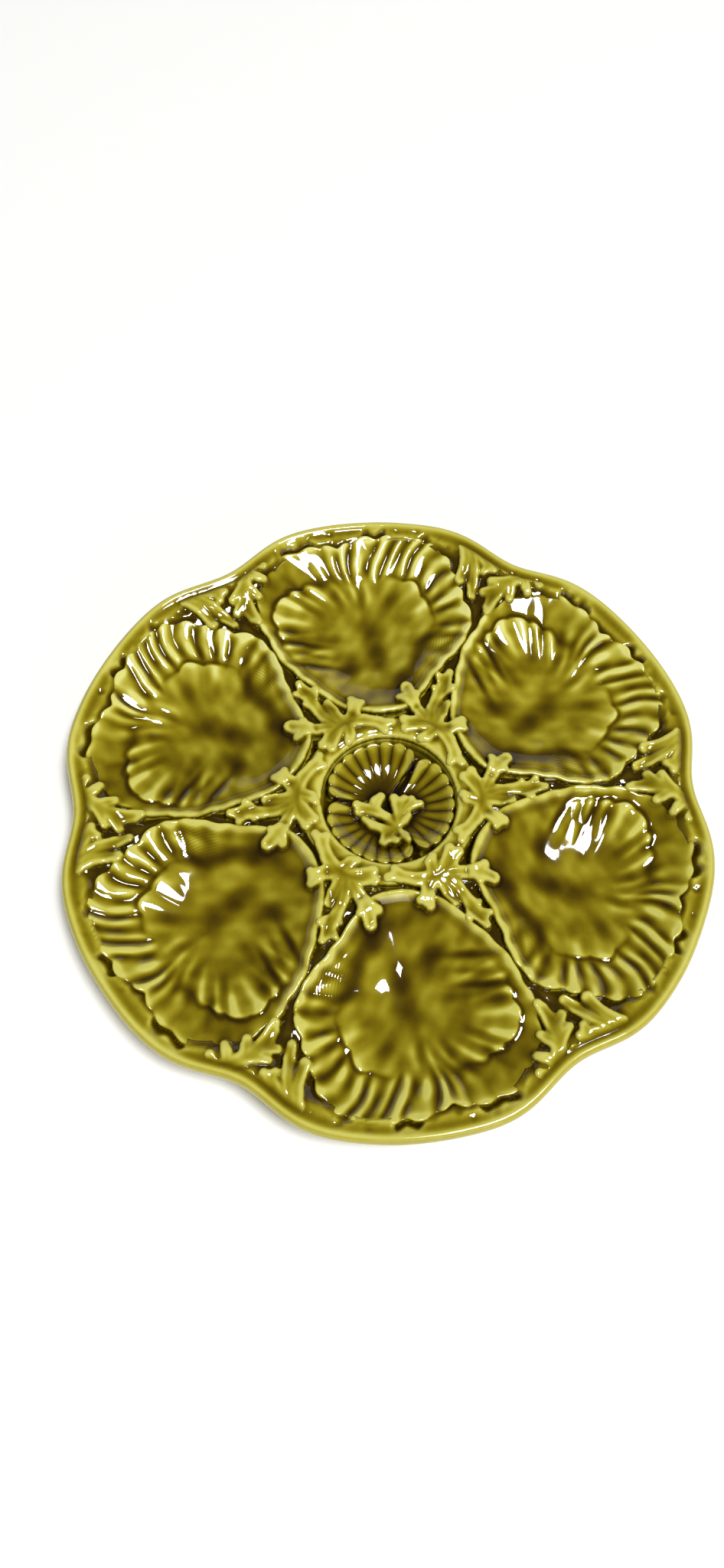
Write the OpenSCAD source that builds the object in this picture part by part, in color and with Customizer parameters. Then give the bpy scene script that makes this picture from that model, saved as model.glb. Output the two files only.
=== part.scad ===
// Oyster plate in glazed earthenware.
// A lobed dish carries six ribbed shell wells round a sauce cup. Seaweed sprigs fill the ground
// between the wells, three scallop fans line the cup, and a turned foot ring stands under the wells.
// The plate's centre is the origin, the table is z = 0, and the first well lies on +Y.

/* [Plate] */
// Width over two opposite lobes
plate_d = 245; // [235:1:275]
// How far the rim dips in between two lobes
notch_depth = 7.2; // [3:0.2:9]
// Width of the rolled rim, from its edge to the ground inside it
rim_band = 6.2; // [5:0.2:8]
// Height of the rim's crest above the table
rim_h = 20; // [18:0.5:24]
// How far in from the edge the rim's crest lies
rim_crest = 2.6; // [2:0.1:3.4]
// How far the edge lies below the rim's crest
rim_drop = 2.4; // [1.6:0.1:3.2]
// Height of the flat ground that the relief stands on
ground_z = 13.5; // [12:0.25:15]
// Thickness of the dish
wall = 4.5; // [3.5:0.25:5.5]

/* [Foot] */
// Middle diameter of the foot ring
foot_d = 146; // [130:1:160]
// Width of the foot ring where it stands
foot_w = 4; // [3:0.5:6]
// Height of the foot ring
foot_h = 3.5; // [2.5:0.25:5]
// How much the foot ring widens on each side towards its top
foot_flare = 1; // [0:0.1:2]

/* [Shells] */
// Gap between two neighbouring shells, at its narrowest
spoke_gap = 2.2; // [1.4:0.2:4]
// Gap between a shell's outer end and the rim
shell_rim_gap = 0.6; // [0.4:0.1:3]
// Gap between a shell's inner end and the cup's flange
shell_cup_gap = 1.7; // [1.2:0.1:7]
// Turn of each shell's middle away from its lobe's middle, in degrees
shell_lean = 3; // [0:0.5:4]
// Squareness of the shell's outline, where 2 is an oval
shell_square = 2.4; // [2:0.1:3]
// Thickness of the clay under the deepest point of a well
shell_floor = 4.5; // [3:0.25:6]
// Height of a shell's lip at its two flanks
lip_side_h = 16.8; // [15.5:0.2:19]
// Height of a shell's lip at its two ends
lip_end_h = 19; // [17:0.2:22]
// How far the lip reaches over the ground round its opening
lip_over = 1.8; // [1.2:0.1:2.4]
// Number of ribs round a shell
rib_count = 30; // [20:1:32]
// Height of a rib at the lip
rib_h = 1.6; // [0.4:0.1:2]
// How far a groove between two ribs is drawn in at the lip
lip_ruffle = 0.8; // [0:0.1:1]
// Step from the inner layer of the shell down to its outer frill
layer_step = 1.2; // [0.6:0.1:1.8]

/* [Sauce cup] */
// Inside diameter of the cup
cup_d = 50; // [44:1:54]
// Height of the cup's floor above the table
cup_floor_z = 8.5; // [7:0.25:10]
// Thickness of the cup's wall
cup_wall = 3.6; // [3:0.2:5]
// Outside diameter of the cup's flange
flange_d = 67; // [64:1:70]
// Thickness of the cup's flange
flange_t = 3.2; // [2.5:0.1:4]
// Width of the twig ring on the flange
twig_w = 8.5; // [6:0.1:9.5]
// Height of the twig ring on the flange
twig_h = 4.6; // [3.5:0.1:6]
// Number of ribs on each scallop fan
fan_ribs = 9; // [8:1:12]
// Height of a fan's outer edge above the cup's floor
fan_rise = 7; // [5:0.25:8]
// Thickness of a fan at its hinge
fan_t = 1.2; // [0.8:0.1:1.6]
// Height of a rib on a fan
fan_rib_h = 0.9; // [0.4:0.1:1.2]
// How far a groove between two ribs of a fan is drawn in at its edge
fan_scallop = 0.9; // [0:0.1:1.4]
// Radius of the knob that carries the centre sprig on the cup's floor
knob_r = 3.2; // [2.4:0.2:4]
// Number of branches of the centre sprig
branches = 5; // [4:1:7]
// Reach of the centre sprig's longest branches
branch_reach = 12.5; // [10:0.5:14]
// Width of the centre sprig's branches
branch_w = 3; // [2:0.2:3.6]
// Thickness of the centre sprig's branches
branch_t = 2.4; // [1.6:0.2:3.2]

/* [Seaweed sprigs] */
// Height of the sprigs above the ground
sprig_h = 4.4; // [3:0.2:5.4]
// Half width of a sprig at the ring, where the ground is wide
sprig_half_w = 13; // [6:0.2:14]
// Reach of a sprig's arms along the rim, from the middle of the notch
rim_arm = 15.5; // [8:0.5:18]
// Width of a sprig's stem
sprig_stem_w = 3.8; // [3:0.2:5]
// Width of a sprig's tip, between the two shells
sprig_tip_w = 3.2; // [1.6:0.2:4.2]
// Number of leaf pairs along a sprig at the ring
sprig_leaves = 3; // [2:1:4]
// Number of fronds on each arm of a sprig at the rim
arm_fronds = 2; // [1:1:3]
// Width of a leaf
leaf_w = 2.6; // [1.8:0.2:3.4]

/* [Fits] */
// Clearance between a piece and the opening it is let into
seat_gap = 0.15; // [0.1:0.05:0.3]
// Clearance between a relief piece and what stands beside it
relief_gap = 0.4; // [0.3:0.05:0.6]

/* [Hidden] */
$fn = 96;

glaze = "#8c8219";
glaze_pale = "#b4ae4e";
glaze_dark = "#5f4a0c";

wells = 6;
sector = 360 / wells;
fans = 3;
fan_turn = 115;
rim_steps = 96;
stroke_fn = 8;
knob_fn = 24;
foot_round = 0.6;
cup_turn = 7.6;
fan_hinge = knob_r + relief_gap;

// Shares of the way from a fan's hinge to its edge at which its surface has a row of points
fan_rows = [0.94, 0.7, 0.4, 0.08];
fan_power = 2.6;

// Rows of points of a well, as shares of its inner layer, of its frill and of the step between the two
well_rows = [[0.4, 0, 0.1], [0.75, 0, 0.4], [1, 0, 1], [1, 0.08, 0], [1, 0.55, 0], [1, 1, 0]];
well_power = 2.1;

// Shares of a shell's underside: where its flat middle ends, and where its curve has a row of points
flat_share = 0.5;
belly_share = 0.78;

// Forked branches: share of their length and angle of the fork, and length of every other one
fork_share = 0.55;
fork_turn = 24;
short_share = 0.8;

// Lobed leaves and fronds: shares of their length, and of the pitch between them
forward_share = 0.4;
lobe_share = 0.6;
stagger_share = 0.12;
lobe_forward_share = 0.18;
lobe_w = 0.8 * leaf_w;

plate_r = plate_d / 2;
foot_r = foot_d / 2;
cup_r = cup_d / 2;
flange_r = flange_d / 2;
web_z = ground_z - wall;

// The twig ring lies in the middle of the flange
twig_r = (cup_r + flange_r) / 2;
ring_out = max(flange_r, twig_r + twig_w / 2);

// Each shell runs from the ring round the cup to the rim, in its own sector
shell_in = ring_out + shell_cup_gap;
shell_out = plate_r - rim_band - shell_rim_gap;
shell_mid = (shell_in + shell_out) / 2;
shell_half = (shell_out - shell_in) / 2;
shell_half_turn = sector / 2 - arc_deg(spoke_gap / 2, shell_mid);
well_floor_z = foot_h + shell_floor;
psi_steps = 2 * rib_count;

// Angle that a length takes on a circle
function arc_deg(len, r) = len / r * 180 / PI;

// Point at a radius and at a turn to the right of +Y
function polar(r, turn, z) = [r * sin(turn), r * cos(turn), z];

// Eases from 0 to 1 as x goes from a to b
function ease(a, b, x) =
    let (t = min(1, max(0, (x - a) / (b - a))))
    t * t * (3 - 2 * t);

// Radius of the plate's edge at a turn from a lobe's middle
function edge_r(turn) = plate_r - notch_depth * pow(sin(turn * wells / 2), 8);

// Reach of the rounded square outline, as a share of its half width, in direction psi
function square_reach(psi) =
    pow(pow(abs(cos(psi)), shell_square) + pow(abs(sin(psi)), shell_square), -1 / shell_square);

// Point of a shell's plan, where share runs from 0 in the middle to 1 at the lip
function shell_point(psi, share, z, inset = 0) =
    let (reach = share * square_reach(psi))
    polar(
        shell_mid + (shell_half - inset) * reach * cos(psi),
        -shell_lean + (shell_half_turn - arc_deg(inset, shell_mid)) * reach * sin(psi),
        z
    );

// Half of the ground between two shells, as an angle, at radius r
function ground_half_turn(r) =
    let (s = min(1, abs(r - shell_mid) / shell_half))
    sector / 2 - shell_half_turn * pow(1 - pow(s, shell_square), 1 / shell_square);

// Radius on one side of the wells' middle at which half the ground between two shells takes this turn
function meet_r(side, turn) =
    let (share = max(0, sector / 2 - turn) / shell_half_turn)
    shell_mid + side * shell_half * pow(max(0, 1 - pow(share, shell_square)), 1 / shell_square);

// Radius up to which a frond reaches between two shells, at a length to the side of their middle
function tip_r(side, len) =
    let (
        room = len + sprig_tip_w / 2 + relief_gap,
        about = meet_r(side, arc_deg(room, shell_mid + side * shell_half / 2))
    )
    meet_r(side, arc_deg(room, about));

// Triangles between two loops of n points, which start at a and b
function band(a, b, n) = [
    for (i = [0 : n - 1])
        let (j = (i + 1) % n)
        each [[a + i, a + j, b + j], [a + i, b + j, b + i]]
];

// Closed skin over loops of points, from one pole to another
module pole_skin(first, loops, last) {
    n = len(loops[0]);
    end = len(loops) * n + 1;
    polyhedron(
        points = concat([first], [for (l = loops) each l], [last]),
        faces = concat(
            [for (i = [0 : n - 1]) [0, 1 + i, 1 + (i + 1) % n]],
            [for (k = [0 : len(loops) - 2]) each band(1 + (k + 1) * n, 1 + k * n, n)],
            [for (i = [0 : n - 1]) [end, end - n + (i + 1) % n, end - n + i]]
        )
    );
}

// Closed skin over a row of cross-sections, with flat ends
module row_skin(sections) {
    n = len(sections[0]);
    last = (len(sections) - 1) * n;
    polyhedron(
        points = [for (s = sections) each s],
        faces = concat(
            [[for (i = [n - 1 : -1 : 0]) i]],
            [for (k = [0 : len(sections) - 2]) each band(k * n, (k + 1) * n, n)],
            [[for (i = [0 : n - 1]) last + i]]
        )
    );
}

// Closed skin over a ring of cross-sections
module ring_skin(sections) {
    n = len(sections[0]);
    count = len(sections);
    polyhedron(
        points = [for (s = sections) each s],
        faces = [for (k = [0 : count - 1]) each band(k * n, (k + 1) % count * n, n)]
    );
}

// Cross-section of the rolled rim: how far in from the edge, and how high
rim_profile = concat(
    [[rim_band, web_z]],
    [
        for (a = [0 : 30 : 90])
            [rim_crest + (rim_band - rim_crest) * cos(a), ground_z + (rim_h - ground_z) * sin(a)]
    ],
    [for (a = [45, 90]) [rim_crest * (1 - sin(a)), rim_h - rim_drop * (1 - cos(a))]]
);

module rim() {
    ring_skin([
        for (k = [0 : rim_steps - 1])
            let (turn = k * 360 / rim_steps)
            [for (p = rim_profile) polar(edge_r(turn) - p[0], turn, p[1])]
    ]);
}

// Outline of the ground inside the rim
function ground_outline(inset) = [
    for (k = [0 : rim_steps - 1])
        let (turn = k * 360 / rim_steps, p = polar(edge_r(turn) - rim_band - inset, turn, 0))
        [p[0], p[1]]
];

// Outline of the opening that a shell is let into
function opening_outline(inset) = [
    for (k = [0 : psi_steps - 1])
        let (p = shell_point(k * 360 / psi_steps, 1, 0, inset))
        [p[0], p[1]]
];

module plate_body() {
    color(glaze) union() {
        rim();
        translate([0, 0, web_z]) linear_extrude(wall) difference() {
            polygon(ground_outline(0));
            circle(r = cup_r + cup_wall + seat_gap);
            for (k = [0 : wells - 1]) rotate(k * sector) polygon(opening_outline(lip_over));
        }
    }
}

module foot_ring() {
    half = foot_w / 2;
    color(glaze_dark) rotate_extrude() translate([foot_r, 0]) polygon([
        [-half + foot_round, 0],
        [half - foot_round, 0],
        [half, foot_round],
        [half + foot_flare, foot_h],
        [-half - foot_flare, foot_h],
        [-half, foot_round]
    ]);
}

module sauce_cup() {
    under_z = cup_floor_z - wall;
    outside = cup_r + cup_wall;
    color(glaze) rotate_extrude() polygon(concat(
        [[0, under_z]],
        [for (a = [0 : 30 : 90]) [outside - cup_turn * (1 - sin(a)), under_z + wall * (1 - cos(a))]],
        [
            [outside, ground_z],
            [flange_r, ground_z],
            [flange_r, ground_z + flange_t],
            [cup_r, ground_z + flange_t],
            [cup_r, cup_floor_z],
            [0, cup_floor_z]
        ]
    ));
}

module twig_ring() {
    color(glaze_pale) rotate_extrude() translate([twig_r, ground_z + flange_t])
        polygon([for (a = [0 : 15 : 180]) [twig_w / 2 * cos(a), twig_h * sin(a)]]);
}

// Height of a fan above the cup's floor, at a share of the way from its hinge to its edge
function fan_z(share) = fan_t + (fan_rise - fan_t) * pow(share, fan_power);

module scallop_fan(i) {
    steps = 2 * fan_ribs;
    last_row = fan_rows[len(fan_rows) - 1];
    wall_r = cup_r - relief_gap;
    // Two neighbouring fans come as close at the wall as relief may
    half_turn = 180 / fans - arc_deg(relief_gap / 2, wall_r);
    half_spread = atan2(wall_r * sin(half_turn), wall_r * cos(half_turn) - fan_hinge);
    color(glaze_pale) rotate(fan_turn + (i - 1) * 360 / fans) row_skin([
        for (k = [0 : steps])
            let (
                on_rib = k % 2,
                dir = half_spread * (2 * k / steps - 1),
                to_wall = sqrt(wall_r * wall_r - pow(fan_hinge * sin(dir), 2)) - fan_hinge * cos(dir),
                reach = to_wall - fan_scallop * (1 - on_rib)
            )
            [
                for (p = concat([[last_row, 0], [1, 0], [1, 1]], [for (share = fan_rows) [share, 1]]))
                    let (rib = fan_rib_h * (on_rib - 0.5) * ease(0, fan_rows[1], p[0]))
                    [
                        fan_hinge + reach * p[0] * cos(dir),
                        reach * p[0] * sin(dir),
                        cup_floor_z + p[1] * (fan_z(p[0]) + rib)
                    ]
            ]
    ]);
}

// Rounded stroke between two plan points, with a width at each end
module stroke(from, to, from_w, to_w) {
    hull() {
        translate(from) circle(d = from_w, $fn = stroke_fn);
        translate(to) circle(d = to_w, $fn = stroke_fn);
    }
}

// Branch of the centre sprig along +Y, which forks in two near its end
module branch(reach) {
    fork = reach * fork_share;
    end = reach - branch_w / 2;
    stroke([0, 0], [0, fork], branch_w, branch_w);
    for (turn = [-fork_turn, fork_turn])
        stroke([0, fork], [(end - fork) * sin(turn), end], branch_w, branch_w);
}

module centre_sprig() {
    over_fan = (branch_reach - fan_hinge) / (cup_r - relief_gap - fan_hinge);
    lift = fan_z(over_fan) + fan_rib_h / 2 + relief_gap;
    color(glaze_pale) translate([0, 0, cup_floor_z]) {
        cylinder(h = lift + branch_t, r = knob_r, $fn = knob_fn);
        translate([0, 0, lift]) linear_extrude(branch_t)
            for (k = [0 : branches - 1])
                rotate(k * 360 / branches) branch(branch_reach * (k % 2 == 0 ? 1 : short_share));
    }
}

// Height of a shell's lip in direction psi, where 0 points out to the rim
function lip_z(psi) = lip_side_h + (lip_end_h - lip_side_h) * pow(cos(psi), 2);

// Share at which the inner layer ends and the frill begins: wide on the left flank, short at both ends
function layer_share(psi) = 0.66 - 0.11 * sin(psi) - 0.08 * cos(2 * psi);

// Height of the bowl, without ribs and layers
function bowl_z(psi, share) = well_floor_z + (lip_z(psi) - well_floor_z) * pow(share, well_power);

// Strength of the ribs in direction psi: full at the outer end's right side, faint at the hinge
function rib_share(psi) = 0.55 + 0.45 * cos(psi - 40);

// Height of a rib or a groove, which fades towards the floor and the hinge
function rib_z(k, psi, share) = rib_h * (k % 2 - 0.5) * rib_share(psi) * share * share;

// How far the lip is drawn in at a groove
function ruffle(k, psi) = lip_ruffle * (1 - k % 2) * rib_share(psi);

// Loop of a shell's upper side: step is how much of the inner layer's step it stands on
function shell_loop(from_layer, to_lip, step) = [
    for (k = [0 : psi_steps - 1])
        let (
            psi = k * 360 / psi_steps,
            layer = layer_share(psi),
            share = layer * from_layer + (1 - layer) * to_lip,
            raised = layer_step * step * ease(-1, 0.4, cos(psi))
        )
        shell_point(psi, share, bowl_z(psi, share) + raised + rib_z(k, psi, share), ruffle(k, psi) * to_lip)
];

// Loop below a shell's lip, which follows its ruffles
function lip_loop(z) = [
    for (k = [0 : psi_steps - 1])
        let (psi = k * 360 / psi_steps)
        shell_point(psi, 1, z, ruffle(k, psi))
];

// Loop of a shell's seat or underside
function seat_loop(share, z, inset = 0) =
    [for (k = [0 : psi_steps - 1]) shell_point(k * 360 / psi_steps, share, z, inset)];

// Height of a shell's underside, which is flat in the middle and curves up to its seat
function belly_z(share) =
    foot_h + (web_z - foot_h) * pow(max(0, share - flat_share) / (1 - flat_share), 2);

module oyster_shell(i) {
    seat = lip_over + seat_gap;
    middle = shell_point(0, 0, 0);
    color(glaze) rotate((i - 1) * sector) pole_skin(
        [middle[0], middle[1], well_floor_z],
        [
            for (row = well_rows) shell_loop(row[0], row[1], row[2]),
            lip_loop(ground_z),
            seat_loop(1, ground_z, seat),
            seat_loop(1, web_z, seat),
            seat_loop(belly_share, belly_z(belly_share)),
            seat_loop(flat_share, foot_h)
        ],
        [middle[0], middle[1], foot_h]
    );
}

// Plan point at radius r, at a length to the side of +Y
function aside(r, len) =
    let (turn = arc_deg(len, r))
    [r * sin(turn), r * cos(turn)];

// How far a leaf may reach from the stem at radius r
function leaf_reach(r) = min(sprig_half_w, r * ground_half_turn(r) * PI / 180 - relief_gap) - leaf_w / 2;

// Leaf that grows from the stem at radius r to one side, with a lobe on its forward edge
module leaf(r, forward, side) {
    end_r = r + forward;
    lobe_r = end_r + forward / 2;
    reach = leaf_reach(end_r);
    lobe = min(reach * lobe_share, leaf_reach(lobe_r));
    stroke(aside(r, 0), aside(end_r, side * reach), leaf_w, leaf_w);
    stroke(aside(r + forward / 2, side * lobe / 2), aside(lobe_r, side * lobe), leaf_w, lobe_w);
}

// Plan of a sprig at the ring, along +Y: a stem with leaves on alternate sides
module ring_sprig_plan() {
    start = ring_out + relief_gap + sprig_stem_w / 2;
    tip = tip_r(-1, 0);
    pitch = (tip - start) / (sprig_leaves + 0.5);
    stroke([0, start], [0, tip], sprig_stem_w, sprig_tip_w);
    for (k = [0 : sprig_leaves - 1], side = [-1, 1])
        leaf(start + pitch * (k + (1 + side) / 4), pitch * forward_share, side);
}

// Radius of a rim sprig's arms, which follow the rim, at a length to the side of +Y
function arm_r(len) =
    edge_r(sector / 2 - shell_lean + arc_deg(len, shell_out)) - rim_band - relief_gap - sprig_stem_w / 2;

// Frond that hangs from a rim sprig's arm towards the cup, with a lobe on each side
module hanging_frond(len, lobe) {
    top = arm_r(len);
    tip = tip_r(1, abs(len));
    stroke(aside(top, len), aside(tip, len), leaf_w, sprig_tip_w);
    for (side = [-1, 1])
        let (
            fork = top + (tip - top) * (0.5 + side * stagger_share),
            end = fork + (tip - top) * lobe_forward_share
        )
        stroke(aside(fork, len), aside(end, len + side * lobe), leaf_w, lobe_w);
}

// Plan of a sprig at the rim, along +Y: two arms along the rim with a row of fronds
module rim_sprig_plan() {
    pitch = rim_arm / arm_fronds;
    along = [for (k = [-arm_fronds : arm_fronds]) k * pitch];
    arm = [for (len = along) aside(arm_r(len), len)];
    for (k = [1 : len(arm) - 1]) stroke(arm[k - 1], arm[k], sprig_stem_w, sprig_stem_w);
    for (len = along) hanging_frond(len, pitch * lobe_share);
}

// Seaweed sprig on the ground, clear of the rim and of the shells on both sides
module sprig() {
    translate([0, 0, ground_z]) linear_extrude(sprig_h) difference() {
        intersection() {
            rotate(shell_lean - sector / 2) children();
            polygon(ground_outline(relief_gap));
        }
        for (k = [0, 1]) rotate(-k * sector) polygon(opening_outline(-relief_gap));
    }
}

module ring_sprig(i) {
    color(glaze_pale) rotate((i - 1) * sector) sprig() ring_sprig_plan();
}

module rim_sprig(i) {
    color(glaze_pale) rotate((i - 1) * sector) sprig() rim_sprig_plan();
}

plate_body();
foot_ring();
sauce_cup();
twig_ring();
centre_sprig();
for (i = [1 : fans])
    scallop_fan(i);
for (i = [1 : wells])
    oyster_shell(i);
for (i = [1 : wells])
    ring_sprig(i);
for (i = [1 : wells])
    rim_sprig(i);
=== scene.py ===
"""Oyster plate in pooled olive glaze.

Six ribbed shell wells lie round a sauce cup, with seaweed sprigs between them. Shapes are worked
out in millimetres, in the frame of the CAD model: the plate's centre is the origin, the table is
z = 0 and the lobe of the first well points along +Y. Plan points of a well and its sprigs are read
from the photograph, with x to the right of the well's lobe and y outwards. Directions on the plate
and in a well are counted from +Y to the right. A piece is laid in its place by a turn to the left.
"""

import math

import bpy
import numpy as np
from mathutils import Matrix, Vector
from mathutils.bvhtree import BVHTree


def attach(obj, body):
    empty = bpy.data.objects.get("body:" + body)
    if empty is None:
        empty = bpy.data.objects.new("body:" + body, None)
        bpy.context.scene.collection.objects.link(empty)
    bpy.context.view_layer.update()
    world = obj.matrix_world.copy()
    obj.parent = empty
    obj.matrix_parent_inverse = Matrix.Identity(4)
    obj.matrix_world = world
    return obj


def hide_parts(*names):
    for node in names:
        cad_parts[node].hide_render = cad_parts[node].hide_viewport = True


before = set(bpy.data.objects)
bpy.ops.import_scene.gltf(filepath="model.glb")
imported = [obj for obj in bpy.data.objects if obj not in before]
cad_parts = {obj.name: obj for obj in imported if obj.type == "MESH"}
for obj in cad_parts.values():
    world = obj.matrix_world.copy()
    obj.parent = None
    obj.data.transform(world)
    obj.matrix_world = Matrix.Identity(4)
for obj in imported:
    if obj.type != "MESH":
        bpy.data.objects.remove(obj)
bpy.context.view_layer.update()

MM = 0.001
TAU = 2 * math.pi

# Counts, angles and sizes of the CAD model
WELLS, FANS, FAN_RIBS = 6, 3, 9
SECTOR, WELL_LEAN, FAN_TURN = TAU / WELLS, math.radians(3), math.radians(115)
PLATE_R, NOTCH, RIM_BAND, RIM_H = 122.5, 7.2, 6.2, 20.0
GROUND, WEB, FOOT_TOP = 13.5, 9.0, 3.5
FOOT_R, FOOT_W = 73.0, 4.0
LIP_SIDE, LIP_END, LIP_OVER, WELL_FLOOR = 16.8, 19.0, 1.8, 8.0
CUP_R, CUP_FLOOR, CUP_WALL, FLANGE_R, FLANGE_TOP = 25.0, 8.5, 3.6, 33.5, 16.7
RING_R, RING_HALF = 29.25, 4.25
SEAT_GAP = 0.15

# Sizes of the finished pieces
EDGE_IN, NOTCH_POWER, OPENING_GAP = 0.1, 8, 0.1
GROUND_LIFT, GROUND_MOST = 1.3, 18.8
LEDGE_H, LEDGE_START, LEDGE_END = 4.3, 17, 6.5
RING_TOP = 19.6
FAN_HINGE, FAN_SPREAD, FAN_T, FAN_RISE = 3.0, math.radians(66.5), 1.6, 8.3
SPRIG_EDGE, SPRIG_MOST, SPRIG_ROUND = 1.5, 21.0, 1.6

# Waves that add up to a ripple, and what their sum is divided by
RIPPLE_WAVES, RIPPLE_PEAK = 7, 3


# ---- numbers ----

def ease(a, b, x):
    """Smooth rise from 0 at a to 1 at b."""
    t = np.clip((x - a) / (b - a), 0, 1)
    return t * t * (3 - 2 * t)


def bump(x, middle, half):
    """Rounded hump of height 1."""
    return np.exp(-(((x - middle) / half) ** 2))


def round_curve(values, turn):
    """Smooth closed curve through values that are evenly spaced over a full turn."""
    v = np.asarray(values, float)
    n = len(v)
    u = np.mod(turn, TAU) / TAU * n
    i = np.floor(u).astype(int)
    t = u - i
    a, b, c, d = (v[(i + k) % n] for k in (-1, 0, 1, 2))
    return b + 0.5 * t * (c - a + t * (2 * a - 5 * b + 4 * c - d + t * (3 * (b - c) + d - a)))


def ripple(x, y, size, seed):
    """Soft unevenness of about -1 to 1, with swells of about this size."""
    rng = np.random.default_rng(seed)
    total = 0.0
    for _ in range(RIPPLE_WAVES):
        heading, phase = rng.uniform(0, TAU, 2)
        pitch = TAU / (size * rng.uniform(0.7, 1.5))
        total = total + np.sin(pitch * (x * np.cos(heading) + y * np.sin(heading)) + phase)
    return total / RIPPLE_PEAK


def rib_wave(degrees, grooves):
    """Ribs between grooves: the rise from 0 in a groove to 1 on a rib, and the rib's height."""
    at = np.array([g[0] for g in grooves] + [grooves[0][0] + 360.0])
    deep = np.array([g[1] for g in grooves] + [grooves[0][1]])
    u = np.mod(degrees - at[0], 360.0) + at[0]
    k = np.clip(np.searchsorted(at, u, side="right") - 1, 0, len(at) - 2)
    t = (u - at[k]) / (at[k + 1] - at[k])
    return np.sin(np.pi * t), deep[k] + (deep[k + 1] - deep[k]) * t


def plate_edge(turn):
    """Radius of the plate's lobed edge."""
    return PLATE_R - EDGE_IN - NOTCH * np.sin(WELLS / 2 * turn) ** NOTCH_POWER


def in_from_edge(x, y):
    """Distance in from the plate's edge."""
    return plate_edge(np.arctan2(x, y)) - np.hypot(x, y)


# ---- meshes ----

def mesh_from(name, points, faces):
    """Smooth mesh through points in millimetres."""
    mesh = bpy.data.meshes.new(name)
    mesh.from_pydata((np.asarray(points) * MM).tolist(), [], faces)
    mesh.validate()
    mesh.shade_smooth()
    return mesh


def points_of(mesh):
    """Points of a mesh in millimetres."""
    co = np.empty(len(mesh.vertices) * 3, np.float32)
    mesh.vertices.foreach_get("co", co)
    return co.reshape(-1, 3) / MM


def store(mesh, name, values):
    """Keeps a value for each point of the mesh, 0 for points past the given values."""
    full = np.zeros(len(mesh.vertices), np.float32)
    full[:len(values)] = values
    mesh.attributes.new(name, "FLOAT", "POINT").data.foreach_set("value", full)
    return mesh


def band(a, b, n):
    """Quads between two loops of n points that start at a and b."""
    return [(a + i, a + (i + 1) % n, b + (i + 1) % n, b + i) for i in range(n)]


def pole_skin(name, first, loops, last):
    """Closed skin over loops of points, from one pole to the other."""
    n = len(loops[0])
    end = len(loops) * n + 1
    faces = [(0, 1 + (i + 1) % n, 1 + i) for i in range(n)]
    for k in range(len(loops) - 1):
        faces += band(1 + k * n, 1 + (k + 1) * n, n)
    faces += [(end, end - n + i, end - n + (i + 1) % n) for i in range(n)]
    return mesh_from(name, np.concatenate([[first], *loops, [last]]), faces)


def ring_skin(name, sections):
    """Closed skin over a ring of cross-sections."""
    n, count = len(sections[0]), len(sections)
    faces = []
    for k in range(count):
        faces += band(k * n, (k + 1) % count * n, n)
    return mesh_from(name, np.concatenate(sections), faces)


def row_skin(name, sections):
    """Closed skin over a row of cross-sections, with flat ends."""
    n, count = len(sections[0]), len(sections)
    faces = [tuple(range(n - 1, -1, -1)), tuple((count - 1) * n + i for i in range(n))]
    for k in range(count - 1):
        faces += band(k * n, (k + 1) * n, n)
    return mesh_from(name, np.concatenate(sections), faces)


def region(field, low, high, step):
    """Grid of quads where field is below 0, with its edge drawn to the zero line.

    Returns the plan points, the quads and the edge's directed sides.
    """
    taken, probe, least_slope = 0.45 * step, 0.05, 0.2
    xs = np.arange(low[0], high[0] + step, step)
    ys = np.arange(low[1], high[1] + step, step)
    x, y = np.meshgrid(xs, ys)
    take = field(x, y) < taken
    cell = take[:-1, :-1] & take[1:, :-1] & take[:-1, 1:] & take[1:, 1:]
    for _ in range(3):  # cells that touch at a corner only would pinch the skin
        a, b, c, d = cell[:-1, :-1], cell[:-1, 1:], cell[1:, :-1], cell[1:, 1:]
        pinch = (a & d & ~b & ~c) | (b & c & ~a & ~d)
        cell[:-1, :-1] &= ~pinch
        cell[:-1, 1:] &= ~pinch
    j, i = np.nonzero(cell)
    w = x.shape[1]
    corner = j * w + i
    quads = np.stack([corner, corner + 1, corner + w + 1, corner + w], 1)
    used, flat = np.unique(quads, return_inverse=True)
    quads = flat.reshape(-1, 4)
    px, py = x.ravel()[used].copy(), y.ravel()[used].copy()
    sides = np.concatenate([quads[:, [k, (k + 1) % 4]] for k in range(4)])
    known = set(map(tuple, sides.tolist()))
    edge = [s for s in known if (s[1], s[0]) not in known]
    on = np.array(sorted({p for s in edge for p in s}))
    for _ in range(2):  # two steps bring the edge close to the zero line
        ex, ey = px[on], py[on]
        f = field(ex, ey)
        gx = (field(ex + probe, ey) - field(ex - probe, ey)) / (2 * probe)
        gy = (field(ex, ey + probe) - field(ex, ey - probe)) / (2 * probe)
        move = f / np.maximum(gx * gx + gy * gy, least_slope)
        px[on] -= np.clip(move * gx, -step, step)
        py[on] -= np.clip(move * gy, -step, step)
    return np.stack([px, py], 1), quads, sorted(edge)


def slab(name, plan, quads, edge, top, under):
    """Closed piece between an upper and a lower height over a region."""
    n = len(plan)
    points = np.concatenate([np.column_stack([plan, top]), np.column_stack([plan, under])])
    faces = [tuple(q) for q in quads.tolist()]
    faces += [tuple(n + i for i in reversed(q)) for q in quads.tolist()]
    faces += [(b, a, n + a, n + b) for a, b in edge]
    return mesh_from(name, points, faces)


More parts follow.
